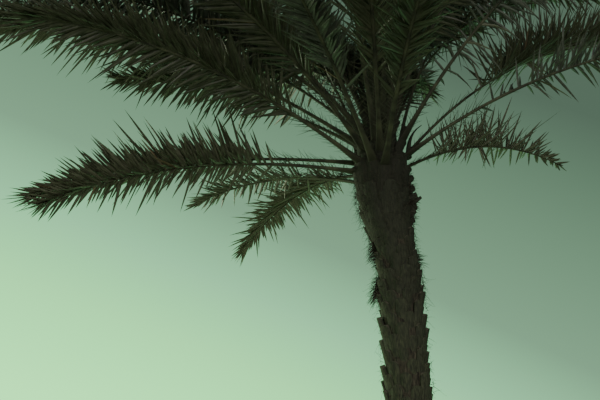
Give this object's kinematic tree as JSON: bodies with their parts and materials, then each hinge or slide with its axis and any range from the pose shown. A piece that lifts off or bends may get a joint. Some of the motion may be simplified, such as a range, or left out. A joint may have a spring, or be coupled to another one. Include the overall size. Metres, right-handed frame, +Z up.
{
  "type": "date palm tree",
  "caption": "Full-grown date palm: a trunk clad in old leaf bases, flared at its flat-cut foot, under a round crown of arching feather leaves.",
  "frame": {"origin": "middle of the flat foot of the trunk, at ground level", "axes": "+Z up the trunk to the top of the crown, -Y the side seen in the picture, +X to the right of that side"},
  "size_m": [9.1808, 7.9505, 10.5907],
  "materials": {
    "leaf_base_bark": "rough, dry, grey-brown cut leaf bases with loose brown fibre",
    "frond_leaf": "matt to slightly waxy grey-green"
  },
  "bodies": {
    "root": {"trunk": "leaf_base_bark", "frond_01": "frond_leaf", "frond_02": "frond_leaf", "frond_03": "frond_leaf", "frond_04": "frond_leaf", "frond_05": "frond_leaf", "frond_06": "frond_leaf", "frond_07": "frond_leaf", "frond_08": "frond_leaf", "frond_09": "frond_leaf", "frond_10": "frond_leaf", "frond_11": "frond_leaf", "frond_12": "frond_leaf", "frond_13": "frond_leaf", "frond_14": "frond_leaf", "frond_15": "frond_leaf", "frond_16": "frond_leaf", "frond_17": "frond_leaf", "frond_18": "frond_leaf", "frond_19": "frond_leaf", "frond_20": "frond_leaf", "frond_21": "frond_leaf", "frond_22": "frond_leaf", "frond_23": "frond_leaf", "frond_24": "frond_leaf", "frond_25": "frond_leaf", "frond_26": "frond_leaf", "frond_27": "frond_leaf", "frond_28": "frond_leaf", "frond_29": "frond_leaf", "frond_30": "frond_leaf", "frond_31": "frond_leaf", "frond_32": "frond_leaf", "frond_33": "frond_leaf", "frond_34": "frond_leaf", "frond_35": "frond_leaf", "frond_36": "frond_leaf", "frond_37": "frond_leaf", "frond_38": "frond_leaf", "frond_39": "frond_leaf", "frond_40": "frond_leaf", "frond_41": "frond_leaf", "frond_42": "frond_leaf", "frond_43": "frond_leaf", "frond_44": "frond_leaf", "frond_45": "frond_leaf", "frond_46": "frond_leaf", "spear_leaf": "frond_leaf"}
  },
  "joints": []
}
